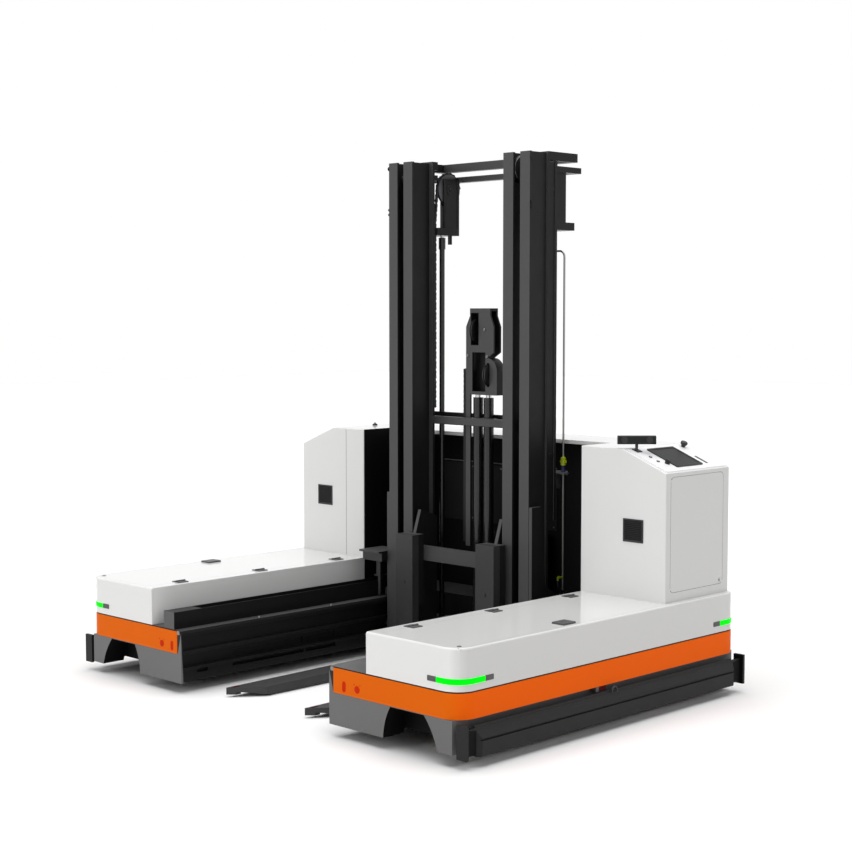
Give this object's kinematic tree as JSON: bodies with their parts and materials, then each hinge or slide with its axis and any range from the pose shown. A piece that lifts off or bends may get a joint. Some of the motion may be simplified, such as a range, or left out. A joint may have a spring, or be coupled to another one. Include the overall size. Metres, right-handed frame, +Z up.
{
  "type": "autonomous mobile robot",
  "caption": "Four-way autonomous fork truck: U-shaped covered chassis, reaching two-stage mast with forks, rear cabinets with a console, corner lights and side bumpers.",
  "frame": {"origin": "centre of the footprint on the floor", "axes": "+Z up, +X to the operator's-console side leg, -Y the way the forks point, +Y the closed rear"},
  "size_m": [2.64, 1.922, 2.566],
  "materials": {
    "chassis_paint": "satin dark grey paint",
    "rail_paint": "satin dark grey paint",
    "orange_paint": "gloss orange paint",
    "skirt_paint": "satin mid grey paint",
    "white_paint": "gloss white paint",
    "black_plastic": "matte black moulding",
    "console_paint": "satin light grey paint",
    "screen_housing": "gloss black glass and bezel",
    "black_paint": "matte black paint",
    "battery_case": "matte grey case",
    "cast_alloy": "bead-blasted aluminium",
    "green_lens": "green light lens",
    "trough_paint": "satin dark grey paint",
    "zinc": "bright zinc",
    "red_plastic": "gloss red moulding",
    "green_plastic": "gloss green moulding",
    "blue_plastic": "gloss blue moulding",
    "bumper_rubber": "satin rubber",
    "mast_paint": "satin dark grey paint",
    "black_gloss": "gloss black paint",
    "zinc_pipe": "zinc-plated steel",
    "chrome_rod": "ground hard chrome",
    "fork_steel": "worn black paint",
    "roller_steel": "oiled turned steel",
    "wheel_tyre": "brown polyurethane tyre"
  },
  "bodies": {
    "chassis": {"chassis_frame": "chassis_paint", "reach_rails": "rail_paint", "side_bands": "orange_paint", "lower_skirts": "skirt_paint", "leg_covers": "white_paint", "lid_hinges": "white_paint", "cabinet_right": "white_paint", "cabinet_left": "white_paint", "cabinet_vents": "black_plastic", "console_panel": "console_paint", "touch_screen": "screen_housing", "scanner_stalk": "black_plastic", "rear_housing": "white_paint", "bay_liners": "black_paint", "pump_unit": "black_paint", "battery_pack": "battery_case", "controller_box": "cast_alloy", "corner_light_lenses": "green_lens", "corner_light_ends": "black_plastic", "chain_trough": "trough_paint"},
    "lid_right": {"leg_lid_right": "white_paint"},
    "lid_left": {"leg_lid_left": "white_paint"},
    "door": {"cabinet_door": "white_paint"},
    "door_latch": {"door_latch": "zinc"},
    "emergency_stop": {"emergency_stop": "red_plastic"},
    "selector": {"selector_knob": "black_plastic"},
    "start_button": {"start_button": "green_plastic"},
    "reset_button": {"reset_button": "blue_plastic"},
    "scanner": {"scanner_bar": "black_plastic"},
    "steer_front_right": {"steer_unit_front_right": "black_paint"},
    "steer_front_left": {"steer_unit_front_left": "black_paint"},
    "steer_rear_right": {"steer_unit_rear_right": "black_paint"},
    "steer_rear_left": {"steer_unit_rear_left": "black_paint"},
    "wheel_front_right": {"wheel_front_right": "wheel_tyre"},
    "wheel_front_left": {"wheel_front_left": "wheel_tyre"},
    "wheel_rear_right": {"wheel_rear_right": "wheel_tyre"},
    "wheel_rear_left": {"wheel_rear_left": "wheel_tyre"},
    "bumper_right": {"bumper_right": "bumper_rubber"},
    "bumper_left": {"bumper_left": "bumper_rubber"},
    "reach_carriage": {"reach_frame": "mast_paint", "outer_mast": "mast_paint", "lift_cylinders": "black_gloss", "hydraulic_line": "zinc_pipe"},
    "reach_rollers_front": {"reach_rollers_front": "roller_steel"},
    "reach_rollers_rear": {"reach_rollers_rear": "roller_steel"},
    "mast_head_rollers": {"mast_head_rollers": "roller_steel"},
    "mast_stage": {"inner_mast": "mast_paint", "lift_rods": "chrome_rod", "jack_barrels": "black_gloss"},
    "mast_foot_rollers": {"mast_foot_rollers": "roller_steel"},
    "side_sheaves": {"side_sheaves": "roller_steel"},
    "jack": {"jack_head": "mast_paint", "jack_rods": "chrome_rod"},
    "upper_jack_sheave": {"upper_jack_sheave": "roller_steel"},
    "lower_jack_sheave": {"lower_jack_sheave": "roller_steel"},
    "fork_carriage": {"fork_carriage": "mast_paint", "fork_right": "fork_steel", "fork_left": "fork_steel"},
    "carriage_rollers_lower": {"carriage_rollers_lower": "roller_steel"},
    "carriage_rollers_upper": {"carriage_rollers_upper": "roller_steel"}
  },
  "joints": [
    {"name": "reach", "type": "slide", "parent": "chassis", "child": "reach_carriage", "axis": [0, -1, 0], "range_m": [0, 1.15]},
    {"name": "mast_lift", "type": "slide", "parent": "reach_carriage", "child": "mast_stage", "axis": [0, 0, 1], "range_m": [0, 1.9]},
    {"name": "fork_lift", "type": "slide", "parent": "mast_stage", "child": "fork_carriage", "axis": [0, 0, 1], "range_m": [0, 1.45]},
    {"name": "jack_lift", "type": "slide", "parent": "mast_stage", "child": "jack", "axis": [0, 0, 1], "range_m": [0, 0.73]},
    {"name": "side_sheave_spin", "type": "hinge", "parent": "mast_stage", "child": "side_sheaves", "pos_m": [0, 0.658, 2.429], "axis": [1, 0, 0], "continuous": true},
    {"name": "upper_jack_sheave_spin", "type": "hinge", "parent": "jack", "child": "upper_jack_sheave", "pos_m": [0, 0.56, 1.7], "axis": [1, 0, 0], "continuous": true},
    {"name": "lower_jack_sheave_spin", "type": "hinge", "parent": "jack", "child": "lower_jack_sheave", "pos_m": [0, 0.56, 1.478], "axis": [1, 0, 0], "continuous": true},
    {"name": "reach_roller_front_spin", "type": "hinge", "parent": "reach_carriage", "child": "reach_rollers_front", "pos_m": [0, 0.415, 0.157], "axis": [1, 0, 0], "continuous": true},
    {"name": "reach_roller_rear_spin", "type": "hinge", "parent": "reach_carriage", "child": "reach_rollers_rear", "pos_m": [0, 0.535, 0.157], "axis": [1, 0, 0], "continuous": true},
    {"name": "mast_head_roller_spin", "type": "hinge", "parent": "reach_carriage", "child": "mast_head_rollers", "pos_m": [0, 0.4415, 2.48], "axis": [1, 0, 0], "continuous": true},
    {"name": "mast_foot_roller_spin", "type": "hinge", "parent": "mast_stage", "child": "mast_foot_rollers", "pos_m": [0, 0.4325, 0.15], "axis": [1, 0, 0], "continuous": true},
    {"name": "carriage_roller_lower_spin", "type": "hinge", "parent": "fork_carriage", "child": "carriage_rollers_lower", "pos_m": [0, 0.4415, 0.16], "axis": [1, 0, 0], "continuous": true},
    {"name": "carriage_roller_upper_spin", "type": "hinge", "parent": "fork_carriage", "child": "carriage_rollers_upper", "pos_m": [0, 0.4415, 0.52], "axis": [1, 0, 0], "continuous": true},
    {"name": "lid_right_hinge", "type": "hinge", "parent": "chassis", "child": "lid_right", "pos_m": [0.809, 0, 0.483], "axis": [0, -1, 0], "range_deg": [0, 85]},
    {"name": "lid_left_hinge", "type": "hinge", "parent": "chassis", "child": "lid_left", "pos_m": [-0.809, 0, 0.483], "axis": [0, 1, 0], "range_deg": [0, 85]},
    {"name": "door_hinge", "type": "hinge", "parent": "chassis", "child": "door", "pos_m": [1.24, 0.4665, 0.786], "axis": [0, 0, -1], "range_deg": [0, 110]},
    {"name": "door_latch_turn", "type": "hinge", "parent": "door", "child": "door_latch", "pos_m": [1.24, 0.856, 0.54], "axis": [1, 0, 0], "range_deg": [0, 90]},
    {"name": "emergency_stop_press", "type": "slide", "parent": "chassis", "child": "emergency_stop", "axis": [-0.3701, 0, -0.929], "range_m": [0, 0.006], "stiffness_N_per_m": 800, "springref_m": -0.002},
    {"name": "start_press", "type": "slide", "parent": "chassis", "child": "start_button", "axis": [-0.3701, 0, -0.929], "range_m": [0, 0.003], "stiffness_N_per_m": 500, "springref_m": -0.002},
    {"name": "reset_press", "type": "slide", "parent": "chassis", "child": "reset_button", "axis": [-0.3701, 0, -0.929], "range_m": [0, 0.003], "stiffness_N_per_m": 500, "springref_m": -0.002},
    {"name": "selector_turn", "type": "hinge", "parent": "chassis", "child": "selector", "pos_m": [1.16286, 0.538, 1.09953], "axis": [0.3701, 0, 0.929], "range_deg": [0, 90]},
    {"name": "scanner_pan", "type": "hinge", "parent": "chassis", "child": "scanner", "pos_m": [1.028, 0.488, 1.19], "axis": [0, 0, 1], "range_deg": [-60, 60]},
    {"name": "steer_front_right", "type": "hinge", "parent": "chassis", "child": "steer_front_right", "pos_m": [1.005, -0.6, 0.2], "axis": [0, 0, 1], "range_deg": [-95, 95]},
    {"name": "roll_front_right", "type": "hinge", "parent": "steer_front_right", "child": "wheel_front_right", "pos_m": [1.005, -0.6, 0.115], "axis": [1, 0, 0], "continuous": true},
    {"name": "steer_front_left", "type": "hinge", "parent": "chassis", "child": "steer_front_left", "pos_m": [-1.005, -0.6, 0.2], "axis": [0, 0, 1], "range_deg": [-95, 95]},
    {"name": "roll_front_left", "type": "hinge", "parent": "steer_front_left", "child": "wheel_front_left", "pos_m": [-1.005, -0.6, 0.115], "axis": [1, 0, 0], "continuous": true},
    {"name": "steer_rear_right", "type": "hinge", "parent": "chassis", "child": "steer_rear_right", "pos_m": [1.005, 0.64, 0.2], "axis": [0, 0, 1], "range_deg": [-95, 95]},
    {"name": "roll_rear_right", "type": "hinge", "parent": "steer_rear_right", "child": "wheel_rear_right", "pos_m": [1.005, 0.64, 0.115], "axis": [1, 0, 0], "continuous": true},
    {"name": "steer_rear_left", "type": "hinge", "parent": "chassis", "child": "steer_rear_left", "pos_m": [-1.005, 0.64, 0.2], "axis": [0, 0, 1], "range_deg": [-95, 95]},
    {"name": "roll_rear_left", "type": "hinge", "parent": "steer_rear_left", "child": "wheel_rear_left", "pos_m": [-1.005, 0.64, 0.115], "axis": [1, 0, 0], "continuous": true},
    {"name": "bumper_right_press", "type": "slide", "parent": "chassis", "child": "bumper_right", "axis": [-1, 0, 0], "range_m": [0, 0.02], "stiffness_N_per_m": 4000, "springref_m": -0.005},
    {"name": "bumper_left_press", "type": "slide", "parent": "chassis", "child": "bumper_left", "axis": [1, 0, 0], "range_m": [0, 0.02], "stiffness_N_per_m": 4000, "springref_m": -0.005}
  ],
  "couplings": [
    {"joint": "jack_lift", "follows": "fork_lift", "ratio": 0.5},
    {"joint": "side_sheave_spin", "follows": "mast_lift", "rad_per_m": 12.5},
    {"joint": "upper_jack_sheave_spin", "follows": "fork_lift", "rad_per_m": 8.0645},
    {"joint": "lower_jack_sheave_spin", "follows": "fork_lift", "rad_per_m": -8.0645},
    {"joint": "reach_roller_front_spin", "follows": "reach", "rad_per_m": 30.581},
    {"joint": "reach_roller_rear_spin", "follows": "reach", "rad_per_m": 30.581},
    {"joint": "mast_head_roller_spin", "follows": "mast_lift", "rad_per_m": 14.881},
    {"joint": "mast_foot_roller_spin", "follows": "mast_lift", "rad_per_m": -17.182},
    {"joint": "carriage_roller_lower_spin", "follows": "fork_lift", "rad_per_m": -14.881},
    {"joint": "carriage_roller_upper_spin", "follows": "fork_lift", "rad_per_m": -14.881}
  ]
}
